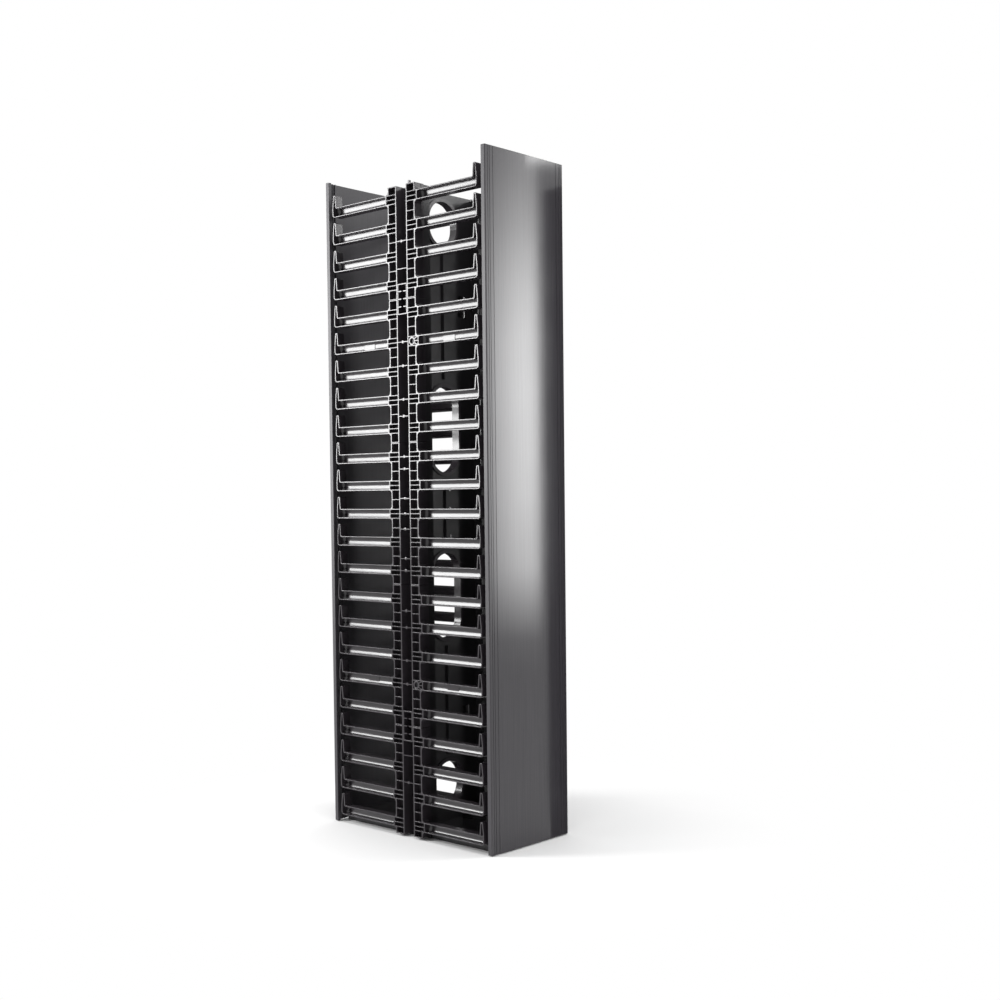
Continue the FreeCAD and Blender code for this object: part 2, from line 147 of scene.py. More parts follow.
powder = {
    "color": "#2b2a2c",
    "cloud": 71.4 * mm,          # size of the patches where the coat is thicker or thinner
    "toneStops": (0.0, 1.0),
    "toneShares": (0.85, 1.2),
    "peel": 1.3 * mm,            # orange-peel wavelength of the powder coat
    "peelHeight": 0.03 * mm,
}

zinc = {
    "color": "#343436",          # black-passivated zinc
    "grain": 0.5 * mm,
    "toneStops": (0.0, 1.0),
    "toneShares": (0.7, 1.3),
}


def objectPoint(tree, stretch=(1, 1, 1)):
    coords = addNode(tree, "ShaderNodeTexCoord").outputs["Object"]
    return addNode(tree, "ShaderNodeMapping", {"Scale": stretch}, Vector=coords).outputs["Vector"]


def shadeFrom(tree, shader, pattern, finish):
    # lets the base colour drift from a darker to a lighter tone with the pattern
    tone = addNode(tree, "ShaderNodeValToRGB", Fac=pattern.outputs["Fac"])
    base = hexColor(finish["color"])[:3]
    for stop, place, share in zip(tone.color_ramp.elements, finish["toneStops"], finish["toneShares"]):
        stop.position = place
        stop.color = [c * share for c in base] + [1]
    tree.links.new(tone.outputs["Color"], shader.inputs["Base Color"])


def mouldedAbs():
    # spark-textured ABS: deep black, soft satin highlights along every rim, faint cloudy flow marks
    mat, tree, shader = newMaterial("mouldedAbs", {"Roughness": 0.2, "IOR": 1.54})
    point = objectPoint(tree)
    cloud = addNode(tree, "ShaderNodeTexNoise", {"Scale": 1 / plastic["flow"], "Detail": 3.0}, Vector=point)
    shadeFrom(tree, shader, cloud, plastic)
    low, high = plastic["gloss"]
    gloss = addNode(tree, "ShaderNodeMapRange", {"To Min": low, "To Max": high}, Value=cloud.outputs["Fac"])
    tree.links.new(gloss.outputs["Result"], shader.inputs["Roughness"])
    grit = addNode(tree, "ShaderNodeTexNoise", {"Scale": 1 / plastic["grit"], "Detail": 2.0}, Vector=point)
    bump = addNode(tree, "ShaderNodeBump", {"Strength": 0.35, "Distance": plastic["gritHeight"]},
                   Height=grit.outputs["Fac"])
    tree.links.new(bump.outputs["Normal"], shader.inputs["Normal"])
    return mat


def extrudedPvc():
    # extruded PVC: polished face with die lines that run the whole height and light handling haze,
    # and a dull inside
    mat, tree, shader = newMaterial("extrudedPvc", {"Roughness": 0.16, "IOR": 1.53})
    point = objectPoint(tree)
    streak = addNode(tree, "ShaderNodeTexNoise", {"Scale": 1 / extrusion["drawLine"], "Detail": 4.0},
                     Vector=objectPoint(tree, (1, 1, extrusion["lineStretch"])))
    shadeFrom(tree, shader, streak, extrusion)
    haze = addNode(tree, "ShaderNodeTexNoise", {"Scale": 1 / extrusion["haze"], "Detail": 3.0}, Vector=point)
    low, high = extrusion["gloss"]
    gloss = addNode(tree, "ShaderNodeMapRange", {"To Min": low, "To Max": high}, Value=haze.outputs["Fac"])
    place = addNode(tree, "ShaderNodeSeparateXYZ", Vector=point)
    depth = addNode(tree, "ShaderNodeMath", {"operation": "ABSOLUTE"}, in0=place.outputs["Y"])
    skin = cadBox[1][1] - extrusion["skin"]
    dull = addNode(tree, "ShaderNodeMapRange",
                   {"From Min": skin - extrusion["skinFade"], "From Max": skin,
                    "To Min": extrusion["dullInside"], "To Max": 0.0}, Value=depth.outputs["Value"])
    rough = addNode(tree, "ShaderNodeMath", {"operation": "ADD"}, in0=gloss.outputs["Result"],
                    in1=dull.outputs["Result"])
    tree.links.new(rough.outputs["Value"], shader.inputs["Roughness"])
    bump = addNode(tree, "ShaderNodeBump", {"Strength": 0.25, "Distance": extrusion["lineHeight"]},
                   Height=streak.outputs["Fac"])
    tree.links.new(bump.outputs["Normal"], shader.inputs["Normal"])
    return mat


def powderCoatedSteel():
    # powder-coated sheet: satin black with a fine orange peel that breaks up its highlights
    mat, tree, shader = newMaterial("powderCoatedSteel", {"Roughness": 0.26, "IOR": 1.5})
    point = objectPoint(tree)
    cloud = addNode(tree, "ShaderNodeTexNoise", {"Scale": 1 / powder["cloud"], "Detail": 3.0}, Vector=point)
    shadeFrom(tree, shader, cloud, powder)
    peel = addNode(tree, "ShaderNodeTexNoise", {"Scale": 1 / powder["peel"], "Detail": 1.0}, Vector=point)
    bump = addNode(tree, "ShaderNodeBump", {"Strength": 0.4, "Distance": powder["peelHeight"]},
                   Height=peel.outputs["Fac"])
    tree.links.new(bump.outputs["Normal"], shader.inputs["Normal"])
    return mat


def blackZinc():
    # black-passivated zinc plate: dull dark metal with a fine rolled grain
    mat, tree, shader = newMaterial("blackZinc", {"Metallic": 1.0, "Roughness": 0.5})
    grain = addNode(tree, "ShaderNodeTexNoise", {"Scale": 1 / zinc["grain"], "Detail": 2.0},
                    Vector=objectPoint(tree))
    shadeFrom(tree, shader, grain, zinc)
    return mat


materials = {
    "moulded_black": mouldedAbs(),
    "door_black": extrudedPvc(),
    "painted_steel": powderCoatedSteel(),
    "plated_steel": blackZinc(),
}
for part in frame["record"]["subparts"]:
    for holder in nodes[part["node"]].material_slots:
        holder.material = materials[part["material_slot"]]
print("materials done")


# outlines in the side view: first number is the distance from the unit's middle (Y), second the height (Z)

def rectangle(y0, y1, z0, z1, radius):
    # corners for roundedLoop, counter-clockwise
    return [(y0, z0, radius), (y1, z0, radius), (y1, z1, radius), (y0, z1, radius)]


def roundedLoop(corners, steps=4):
    # corners are (y, z, radius); each becomes an arc of a few points, or stays sharp at radius 0
    loop = []
    for i, (y, z, radius) in enumerate(corners):
        here = Vector((y, z))
        before = (Vector(corners[i - 1][:2]) - here).normalized()
        after = (Vector(corners[(i + 1) % len(corners)][:2]) - here).normalized()
        half = before.angle(after) / 2
        if radius <= 0 or half > math.radians(89):
            loop.append(here)
            continue
        reach = radius / math.tan(half)
        centre = here + (before + after).normalized() * (radius / math.sin(half))
        start = here + before * reach - centre
        end = here + after * reach - centre
        turn = start.angle_signed(end)
        for step in range(steps + 1):
            loop.append(centre + Matrix.Rotation(-turn * step / steps, 2) @ start)
    return loop


def offsetLoop(loop, distance):
    # moves a loop sideways by a distance, to its left for a positive one
    moved = []
    for i, point in enumerate(loop):
        a = (point - loop[i - 1]).normalized()
        b = (loop[(i + 1) % len(loop)] - point).normalized()
        left = Vector((-a.y, a.x))
        normal = Vector((-a.y - b.y, a.x + b.x))
        normal = normal.normalized() if normal.length > 1e-9 else left
        stretch = max(normal.dot(left), 0.4)   # no long spikes at sharp corners
        moved.append(point + normal * (distance / stretch))
    return moved


def ring(bm, loop, x):
    return [bm.verts.new((x, p.x, p.y)) for p in loop]


def bridgeRings(bm, upper, lower):
    count = len(upper)
    for i in range(count):
        j = (i + 1) % count
        bm.faces.new((upper[i], upper[j], lower[j], lower[i]))


def joinRings(bm, rings):
    for upper, lower in zip(rings[:-1], rings[1:]):
        bridgeRings(bm, upper, lower)


def rimRings(bm, loop, inward, radius, faceX, floorX, steps=3):
    # the rounded rim of a wall and the wall itself, from the face down to the floor; inward is 1 round
    # a solid and -1 round a pocket. The top ring and the floor ring are returned
    rings = []
    for step in range(steps + 1):
        turn = math.radians(90 * step / steps)
        side = inward * radius * (1 - math.sin(turn))
        rings.append(ring(bm, offsetLoop(loop, side), faceX + radius * (1 - math.cos(turn))))
    rings.append(ring(bm, loop, floorX))
    joinRings(bm, rings)
    return rings[0], rings[-1]


def fillBetween(bm, rings):
    # a flat face with holes: the first ring is its outside
    loops = [[Vector((v.co.y, v.co.z, 0)) for v in one] for one in rings]
    verts = [v for one in rings for v in one]
    for a, b, c in tessellate_polygon(loops):
        if len({a, b, c}) == 3:
            bm.faces.new((verts[a], verts[b], verts[c]))


axisGap = 0.1 * mm   # a turned shape ends this far from its axis


def latheAround(bm, centre, profile, segments=28):
    # a turned shape whose axis runs along X; profile is a list of (radius, x)
    y, z = centre
    turns = [2 * math.pi * i / segments for i in range(segments)]
    joinRings(bm, [[bm.verts.new((x, y + radius * math.cos(turn), z + radius * math.sin(turn)))
                    for turn in turns] for radius, x in profile])


def barBlock(bm, corners):
    # a closed prism from eight corner points
    v = [bm.verts.new(p) for p in corners]
    for face in ((0, 1, 2, 3), (7, 6, 5, 4), (0, 4, 5, 1), (1, 5, 6, 2), (2, 6, 7, 3), (3, 7, 4, 0)):
        bm.faces.new([v[i] for i in face])


def slantedRib(bm, start, end, width, faceX, floorX):
    # a thin rib that stands on a floor, between two points of the side view
    along = (Vector(end) - Vector(start)).normalized()
    across = Vector((-along.y, along.x)) * width / 2
    base = [Vector(start) + across, Vector(start) - across, Vector(end) - across, Vector(end) + across]
    barBlock(bm, [(x, p.x, p.y) for x in (faceX, floorX) for p in base])


# cable combs: the same five mouldings in each of the four columns

comb = {
    "rackUnit": 44.45 * mm,
    "fingers": 23,
    "sections": [4, 5, 5, 5, 4],
    "bottomFinger": 21.3 * mm,   # height of the lowest bar's middle
    "face": 89 * mm,             # outer face, from the unit's middle
    "bottom": 3.5 * mm,
    "top": 1019 * mm,
    "seam": 0.3 * mm,            # between two sections
    "depth": 20 * mm,
    "plateDepth": 14 * mm,       # the tips are shallower than the bars
    "overlap": 1 * mm,           # how far one shape reaches into the next
    "rimRound": 0.3 * mm,
    # the ladder band along the post
    "bandInner": 10.7 * mm,
    "bandOuter": 30 * mm,
    "bandCorner": 1 * mm,
    "rootLine": 34 * mm,         # the upright rib where each bar starts
    "rootRib": 2.0 * mm,
    "rail": 2.1 * mm,
    "rib": 1.4 * mm,
    "cellFloor": 11 * mm,
    "cellCorner": 0.8 * mm,
    "cellRim": 0.255 * mm,       # rounding of the cells' rims
    "smallestCell": 2 * mm,
    # the bar and its upright tip
    "barHeight": 15.6 * mm,
    "wall": 1.6 * mm,
    "rootRadius": 5 * mm,
    "heelRadius": 5 * mm,
    "bendRadius": 8 * mm,        # outer bend from the bar into the tip
    "crookRadius": 1.5 * mm,     # inner corner between the two
    "tipFace": 161 * mm,
    "tipRise": 35.5 * mm,        # from the foot of the bar to the end of the tip
    "tipLean": 2.2 * mm,
    "tipTop": 5.2 * mm,          # width of the tip at its end
    "tipRoot": 9 * mm,           # and at the bar
    "tipRadius": 1.6 * mm,
    "tineWall": 2.0 * mm,        # wall of the tip
    "tineFloor": 5.4 * mm,       # depth of the shallow floor in the tip
    "pocketCorner": 2 * mm,
    "pocketBend": 6 * mm,
    "pocketCrook": 2.4 * mm,
    "pocketEnd": 0.5 * mm,
    "gutterFloor": 12.5 * mm,    # depth of the gently hollow floor in the bar
    "gutterBow": 14 * mm,        # its radius
    "gutterScoop": 5 * mm,       # radius of its rounded ends
    "gutterInset": 0.15 * mm,    # its distance from the bar's walls
    "gutterTipGap": 0.9 * mm,    # and from the tip's
    "noseHeight": 7 * mm,        # flat part of the bar's rounded inner nose
    "noseRoot": 4 * mm,          # how far the nose reaches into the band
    "noseCorner": 3 * mm,
    # screw bosses, blank label pads and ejector bosses
    "bossFingers": [5, 17],
    "bossRadius": 6.6 * mm,
    "bossBore": 4.2 * mm,
    "bossFloor": 5 * mm,
    "bossFlat": 0.2 * mm,        # keeps the ring's face flat beside its rounded rims
    "bossRibDrop": 0.05 * mm,
    "padSize": (25 * mm, 8.6 * mm),
    "padCorner": 1 * mm,
    "padFromRoot": 55 * mm,      # to the middle of the pad
    "padDepth": 11.8 * mm,
    "dimpleRadius": 1.4 * mm,    # small ejector boss at the foot of each tip
    "dimpleFromTip": 8 * mm,
    "dimpleDrop": 1.5 * mm,
    "dimpleDepths": (8 * mm, 7.6 * mm, 7.4 * mm),   # of its edge, its shoulder and its middle
}


def fingerHeight(number):
    return comb["bottomFinger"] + number * comb["rackUnit"]


def combOutline(first, count, low, high):
    # counter-clockwise round one section, seen with Y to the right and Z up
    c = comb
    inner, outer, corner = c["bandInner"], c["bandOuter"], c["bandCorner"]
    corners = [(inner, high, corner), (inner, low, corner), (outer, low, corner)]
    tip = c["tipFace"]
    for number in range(first, first + count):
        barLow = fingerHeight(number) - c["barHeight"] / 2
        barTop = fingerHeight(number) + c["barHeight"] / 2
        tipEnd = barLow + c["tipRise"]
        corners += [
            (outer, barLow, c["rootRadius"]),
            (tip, barLow, c["heelRadius"]),
            (tip, barTop, c["bendRadius"]),
            (tip - c["tipLean"], tipEnd, c["tipRadius"]),
            (tip - c["tipLean"] - c["tipTop"], tipEnd, c["tipRadius"]),
            (tip - c["tipRoot"], barTop, c["crookRadius"]),
            (outer, barTop, c["rootRadius"]),
        ]
    corners.append((outer, high, corner))
    return roundedLoop(corners)


def fingerPocketLoop(z):
    # the L-shaped hollow of one finger, one wall inside its outline
    c = comb
    wall, side = c["wall"], c["tineWall"]
    low = z - c["barHeight"] / 2 + wall
    high = z + c["barHeight"] / 2 - wall
    end = z - c["barHeight"] / 2 + c["tipRise"] - wall
    root = c["rootLine"] + c["rootRib"] / 2
    tip = c["tipFace"] - side
    return roundedLoop([
        (root, low, c["pocketCorner"]),
        (tip, low, c["heelRadius"] - wall),
        (tip, high + wall, c["pocketBend"]),
        (tip - c["tipLean"], end, c["pocketEnd"]),
        (tip - c["tipLean"] - c["tipTop"] + 2 * side, end, c["pocketEnd"]),
        (tip - c["tipRoot"] + 2 * side, high, c["pocketCrook"]),
        (root, high, c["pocketCorner"]),
    ])


def addGutter(bm, z, faceX, steps=5):
    # the hollow floor of the bar below the shallow floor of the tip; its upper edge is returned
    c = comb
    bow, scoop = c["gutterBow"], c["gutterScoop"]
    half = c["barHeight"] / 2 - c["wall"] - c["gutterInset"]
    near = c["rootLine"] + c["rootRib"] / 2 + c["gutterInset"]
    far = c["tipFace"] - c["tineWall"] - c["gutterTipGap"]
    heights = [half * (1 - i / steps) for i in range(2 * steps + 1)]
    turns = [math.radians(90 * step / steps) for step in range(steps + 1)]
    stations = [(near + scoop * (1 - math.sin(t)), scoop * (1 - math.cos(t))) for t in reversed(turns)]
    stations += [(far - scoop * (1 - math.sin(t)), scoop * (1 - math.cos(t))) for t in turns]
    topX = faceX + c["tineFloor"]
    rows = []
    for y, lift in stations:
        row = [bm.verts.new((topX, y, z + heights[0]))]
        for height in heights:
            sag = bow - math.sqrt(bow ** 2 - height ** 2)
            row.append(bm.verts.new((faceX + c["gutterFloor"] - sag - lift, y, z + height)))
        row.append(bm.verts.new((topX, y, z + heights[-1])))
        rows.append(row)
    for a, b in zip(rows[:-1], rows[1:]):
        for i in range(len(a) - 1):
            bm.faces.new((a[i], a[i + 1], b[i + 1], b[i]))
    bm.faces.new(rows[0])
    bm.faces.new(rows[-1])
    return [row[0] for row in rows] + [row[-1] for row in reversed(rows)]


def bandCells(first, count, low, high, bossed):
    # the pockets of the ladder band as (y0, y1, z0, z1), with a rib at each bar's top, middle and foot
    # and one in each gap; where a screw boss stands, the middle rib is left out
    c = comb
    inner = c["bandInner"] + c["rail"]
    root = c["rootLine"] - c["rootRib"] / 2
    half = c["barHeight"] / 2
    rib = c["rib"]
    cells = []
    for number in range(first, first + count):
        z = fingerHeight(number)
        if bossed and number in c["bossFingers"]:
            cells.append((inner, root, z - half + rib, z + half - rib))
        else:
            cells.append((inner, root, z - half + rib, z - rib / 2))
            cells.append((inner, root, z + rib / 2, z + half - rib))
    for number in range(first - 1, first + count):
        gapLow = fingerHeight(number) + half
        gapHigh = fingerHeight(number + 1) - half
        middle = (gapLow + gapHigh) / 2
        for a, b in ((gapLow, middle - rib / 2), (middle + rib / 2, gapHigh)):
            a, b = max(a, low + rib), min(b, high - rib)
            if b - a > c["smallestCell"]:
                cells.append((inner, c["bandOuter"] - c["rail"], a, b))
    return cells


def addBoss(bm, number, faceX):
    # screw boss ring in the band, with three ribs that run on to the bar's root
    c = comb
    y = (c["bandInner"] + c["bandOuter"]) / 2
    z = fingerHeight(number)
    root = c["rootLine"] - c["rootRib"] / 2
    outer, bore, edge, flat = c["bossRadius"], c["bossBore"], c["rimRound"], c["bossFlat"]
    floorX = faceX + c["cellFloor"]
    boreX = faceX + c["bossFloor"]
    latheAround(bm, (y, z), [
        (outer, floorX), (outer, faceX + edge), (outer - edge * 0.3, faceX + edge * 0.3),
        (outer - edge, faceX), (outer - edge - flat, faceX),
        (bore + edge + flat, faceX), (bore + edge, faceX),
        (bore + edge * 0.3, faceX + edge * 0.3), (bore, faceX + edge), (bore, boreX), (axisGap, boreX)])
    corner = c["barHeight"] / 2 - c["rib"]
    for along, up, end in ((0.8, 0.5, corner), (0.8, -0.5, -corner), (0.9, 0, 0)):
        # along and up are shares of the ring's radius
        slantedRib(bm, (y + outer * along, z + outer * up), (root, z + end), c["rib"],
                   faceX + c["bossRibDrop"], floorX)


def addPad(bm, number, faceX):
    # blank label pad across the gutter
    c = comb
    y = c["rootLine"] + c["padFromRoot"]
    z = fingerHeight(number)
    width, height = c["padSize"]
    padX = faceX + c["padDepth"]
    loop = roundedLoop(rectangle(y - width / 2, y + width / 2, z - height / 2, z + height / 2,
                                 c["padCorner"]), 3)
    rim = rimRings(bm, loop, 1, c["rimRound"], padX, faceX + c["gutterFloor"] + c["overlap"])[0]
    flat = ring(bm, offsetLoop(loop, 2 * c["rimRound"]), padX)
    bridgeRings(bm, flat, rim)
    fillBetween(bm, [flat])


def addDimple(bm, z, faceX):
    c = comb
    edge, shoulder, middle = c["dimpleDepths"]
    radius = c["dimpleRadius"]
    latheAround(bm, (c["tipFace"] - c["dimpleFromTip"], z - c["dimpleDrop"]), [
        (radius, faceX + c["gutterFloor"] - c["overlap"]), (radius, faceX + edge),
        (radius * 0.7, faceX + shoulder), (axisGap / 2, faceX + middle)], 14)


def addNoses(bm, first, count, startX, endX, steps=6):
    # the bars' inner noses, rounded so that cables bend gently over them
    c = comb
    half = c["barHeight"] / 2
    spare = half - c["noseHeight"] / 2
    root, corner = c["bandOuter"] - c["noseRoot"], c["noseCorner"]
    for number in range(first, first + count):
        z = fingerHeight(number)
        rings = []
        for step in range(steps + 1):
            turn = math.radians(90 * step / steps)
            inset = spare * (1 - math.cos(turn))
            low, high, tip = z - half + inset, z + half - inset, c["tipFace"] - inset
            loop = roundedLoop([(root, low, 0), (tip, low, corner), (tip, high, corner), (root, high, 0)], 3)
            rings.append(ring(bm, loop, startX + (endX - startX) * math.sin(turn)))
        joinRings(bm, rings)
        fillBetween(bm, [rings[-1]])


def combSection(first, count, bossed):
    # one moulding at the rear left, its outer face at the unit's left side
    c = comb
    low = fingerHeight(first) - c["rackUnit"] / 2 + c["seam"] / 2
    high = fingerHeight(first + count - 1) + c["rackUnit"] / 2 - c["seam"] / 2
    if first == 0:
        low = c["bottom"]
    if first + count == c["fingers"]:
        high = c["top"]
    faceX = -c["face"]
    backX = faceX + c["plateDepth"]
    innerX = faceX + c["depth"]
    bm = bmesh.new()
    rim, back = rimRings(bm, combOutline(first, count, low, high), 1, c["rimRound"], faceX, backX)
    fillBetween(bm, [back])
    rims = [rim]
    for cell in bandCells(first, count, low, high, bossed):
        loop = roundedLoop(rectangle(*cell, c["cellCorner"]), 2)
        rim, floor = rimRings(bm, loop, -1, c["cellRim"], faceX, faceX + c["cellFloor"])
        fillBetween(bm, [floor])
        rims.append(rim)
    for number in range(first, first + count):
        z = fingerHeight(number)
        rim, floor = rimRings(bm, fingerPocketLoop(z), -1, c["rimRound"], faceX, faceX + c["tineFloor"])
        fillBetween(bm, [floor, addGutter(bm, z, faceX)])
        rims.append(rim)
        addDimple(bm, z, faceX)
        if number in c["bossFingers"]:
            addPad(bm, number, faceX)
            if bossed:
                addBoss(bm, number, faceX)
    fillBetween(bm, rims)
    addNoses(bm, first, count, backX - c["overlap"], innerX)
    band = roundedLoop(rectangle(c["bandInner"], c["bandOuter"], low, high, c["bandCorner"]), 2)
    start, end = ring(bm, band, backX - c["overlap"]), ring(bm, band, innerX)
    bridgeRings(bm, start, end)
    fillBetween(bm, [end])
    return bm


def buildCombs():
    first = 0
    for level, count in enumerate(comb["sections"], 1):
        for column, xSign, ySign in (("rear_left", 1, 1), ("front_left", 1, -1),
                                     ("front_right", -1, -1), ("rear_right", -1, 1)):
            node = f"{column}_comb_{level}"
            bossed = column in ("front_left", "rear_right")
            bm = combSection(first, count, bossed)
            bmesh.ops.scale(bm, vec=(xSign, ySign, 1), verts=bm.verts)
            piece = meshPiece(node + "_moulding", bm, materials["moulded_black"])
            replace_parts(piece, node)
        first += count
    print("combs done")


buildCombs()


# what spans the channel between the front and the rear combs

bridge = {
    "height": 48 * mm,
    "rim": 1.8 * mm,
    "rimRound": 0.3 * mm,
    "outerCorner": 0.6 * mm,
    "innerCorner": 0.8 * mm,
    "rib": 1.5 * mm,
    "ribRows": 3,
    "ribGap": 0.26,           # share of the width that is left open in the middle of each row
    "ribDrop": 0.1 * mm,      # how far the stub ribs stand below the rim
    "ribBack": 1 * mm,        # and in front of the plate's back
    "gateRadius": 2.3 * mm,   # round gate mark in the middle of each tie
    "gateProud": 0.12 * mm,
    "gateBack": 2.9 * mm,
    "gateDome": (1.0, 0.85, 0.6, 0.35, 0.05),   # its rings, as shares of the radius
    "plainTie": 380 * mm,     # the ties without a gate mark, from the height of the unit's middle finger
    "endTie": 422.6 * mm,     # one more thin tie towards each end
    "tieSize": (3 * mm, 20.8 * mm, 1.2 * mm),   # depth, length and height
    "tieApart": 3 * mm,       # two ties are further apart than this
    "tieSlack": 1 * mm,       # how well a height has to agree
}


def bridgePlate(bm, low, high, z0):
    # one plate: an open frame with rows of stub ribs that stop short of its middle
    b = bridge
    z1 = z0 + b["height"]
    y0, y1 = low.y, high.y
    faceX, backX = low.x, high.x
    wall = b["rim"]
    outline = roundedLoop(rectangle(y0, y1, z0, z1, b["outerCorner"]), 2)
    inside = roundedLoop(rectangle(y0 + wall, y1 - wall, z0 + wall, z1 - wall, b["innerCorner"]), 2)
    rim, back = rimRings(bm, outline, 1, b["rimRound"], faceX, backX)
    pocket, floor = rimRings(bm, inside, -1, b["rimRound"], faceX, backX)
    fillBetween(bm, [rim, pocket])
    fillBetween(bm, [back, floor])
    reach = (y1 - y0 - 2 * wall) * (1 - b["ribGap"]) / 2
    for row in range(1, b["ribRows"] + 1):
        z = z0 + b["height"] * row / (b["ribRows"] + 1)
        for edge, sign in ((y0, 1), (y1, -1)):
            slantedRib(bm, (edge + sign * wall / 2, z), (edge + sign * (wall + reach), z), b["rib"],
                       faceX + b["ribDrop"], backX - b["ribBack"])


def islandMiddles(node):
    # the height of each separate tie in a node, from its own points
    groups = []
    for z in sorted({round(v.co.z, 5) for v in nodes[node].data.vertices}):
        if not groups or z - groups[-1][-1] > bridge["tieApart"]:
            groups.append([])
        groups[-1].append(z)
    return [(group[0] + group[-1]) / 2 for group in groups]


def addTie(bm, z, faceX):
    depth, length, height = bridge["tieSize"]
    square = rectangle(-length / 2, length / 2, z - height / 2, z + height / 2, 0)
    barBlock(bm, [(x, y, up) for x in (faceX, faceX + depth) for y, up, _ in square])


def addGate(bm, z, faceX):
    # a short pin whose domed end stands a little proud of the tie
    b = bridge
    radius, backX = b["gateRadius"], faceX + b["gateBack"]
    dome = [(radius * share, faceX - b["gateProud"] * (1 - share * share)) for share in b["gateDome"]]
    latheAround(bm, (0, z), [(axisGap, backX), (radius, backX)] + dome, 16)


def leftBox(node, xSign):
    # a node's lowest and highest corners, mirrored to the left side if it is on the right
    low, high = (Vector(corner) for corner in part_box(node))
    if xSign < 0:
        low.x, high.x = -high.x, -low.x
    return low, high


def buildBridges():
    b = bridge
    for side, xSign in (("left", 1), ("right", -1)):
        plates, ties = side + "_bridge_plates", side + "_channel_ties"
        low, high = leftBox(plates, xSign)
        bm = bmesh.new()
        bridgePlate(bm, low, high, low.z)
        bridgePlate(bm, low, high, high.z - b["height"])
        bmesh.ops.scale(bm, vec=(xSign, 1, 1), verts=bm.verts)
        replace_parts(meshPiece(side + "_ribbed_bridges", bm, materials["moulded_black"]), plates)

        low, high = leftBox(ties, xSign)
        middle = (low.z + high.z) / 2
        endTies = [middle - b["endTie"], middle + b["endTie"]]
        bm = bmesh.new()
        for z in endTies:
            addTie(bm, z, low.x)
        for z in islandMiddles(ties) + endTies:
            if abs(abs(z - middle) - b["plainTie"]) > b["tieSlack"]:
                addGate(bm, z, low.x)
        bmesh.ops.scale(bm, vec=(xSign, 1, 1), verts=bm.verts)
        meshPiece(side + "_tie_gates", bm, materials["moulded_black"])
    print("bridges done")


buildBridges()


# studio

studio = {
    "cameraPlace": (-1.5330, -1.5117, 0.53455),
    "cameraTurn": 48.01,      # from the depth direction towards the right
    "cameraTilt": -2.12,
    "cameraRoll": -0.60,
    "lens": 48.08,
    "shift": (-0.0063, 0.0466),
    "floorRadius": 3.4,
    "floorSides": 72,
    "white": "#f4f4f4",
    "shadowReach": (0.20, 0.60),   # where the shadow starts to fade and where plain white starts
    "worldGrey": 0.42,
    # painted shade: the black of the sheets that only gloss sees, which darkens the reflections on the right
    # of the unit
    "cardBlack": "#141414",
    "cards": [   # corners of sheets that only gloss sees, which paint shade into the reflections; one stands at the right of the unit and one lies at the door's right foot
        [(0.34, -0.42, 0.001), (0.34, 0.60, 0.001), (0.34, 0.60, 1.09), (0.34, -0.42, 1.09)],
        [(0.052, -0.182, 0.001), (0.34, -0.42, 0.001), (0.34, -0.182, 0.001)],
    ],
}
plainWhite = (1, 1, 1, 1)


def addCamera():
    camera = bpy.data.objects.new("camera", bpy.data.cameras.new("camera"))
    bpy.context.scene.collection.objects.link(camera)
    camera.data.lens = studio["lens"]
    camera.data.sensor_width = 36
    camera.data.shift_x, camera.data.shift_y = studio["shift"]
    camera.data.clip_start = 0.05
    camera.data.clip_end = 50
    turn = Matrix.Rotation(-math.radians(studio["cameraTurn"]), 4, "Z")
    tilt = Matrix.Rotation(math.radians(90 + studio["cameraTilt"]), 4, "X")
    roll = Matrix.Rotation(math.radians(studio["cameraRoll"]), 4, "Z")
    camera.matrix_world = Matrix.Translation(studio["cameraPlace"]) @ turn @ tilt @ roll
    bpy.context.scene.camera = camera


def seenDirectly(tree):
    # 1 for rays from the camera and for those that reach it by way of gloss, metal or glass
    path = addNode(tree, "ShaderNodeLightPath")
    shiny = addNode(tree, "ShaderNodeMath", {"operation": "MAXIMUM"}, in0=path.outputs["Is Glossy Ray"],
                    in1=path.outputs["Is Transmission Ray"])
    return addNode(tree, "ShaderNodeMath", {"operation": "MAXIMUM"}, in0=path.outputs["Is Camera Ray"],
                   in1=shiny.outputs["Value"]).outputs["Value"]


def studioPaper():
    # matt white paper; away from the object it is seen as plain white, near it the shadow stays
    settings = {"Roughness": 0.9, "Base Color": hexColor(studio["white"])}
    mat, tree, shader = newMaterial("studioPaper", settings)
    place = addNode(tree, "ShaderNodeNewGeometry").outputs["Position"]
    flat = addNode(tree, "ShaderNodeVectorMath", {"operation": "MULTIPLY"}, in0=place)
    flat.inputs[1].default_value = (1, 1, 0)
    distance = addNode(tree, "ShaderNodeVectorMath", {"operation": "LENGTH"}, in0=flat.outputs["Vector"])
    near, far = studio["shadowReach"]
    away = addNode(tree, "ShaderNodeMapRange",
                   {"interpolation_type": "SMOOTHSTEP", "From Min": near, "From Max": far},
                   Value=distance.outputs["Value"])
    amount = addNode(tree, "ShaderNodeMath", {"operation": "MULTIPLY"}, in0=away.outputs["Result"],
                     in1=seenDirectly(tree))
    glow = addNode(tree, "ShaderNodeEmission", {"Color": plainWhite, "Strength": 1.0})
    mix = addNode(tree, "ShaderNodeMixShader", in0=amount.outputs["Value"], in1=shader.outputs["BSDF"],
                  in2=glow.outputs["Emission"])
    tree.links.new(mix.outputs["Shader"], tree.nodes["Material Output"].inputs["Surface"])
    return mat


def addStudioFloor():
    # a round table of paper, large enough to bounce light into the foot of the doors
    radius, sides = studio["floorRadius"], studio["floorSides"]
    bm = bmesh.new()
    for i in range(sides):
        turn = 2 * math.pi * i / sides
        bm.verts.new((radius * math.cos(turn), radius * math.sin(turn), 0))
    bm.faces.new(bm.verts)
    meshPiece("studioFloor", bm, studioPaper(), body=None)


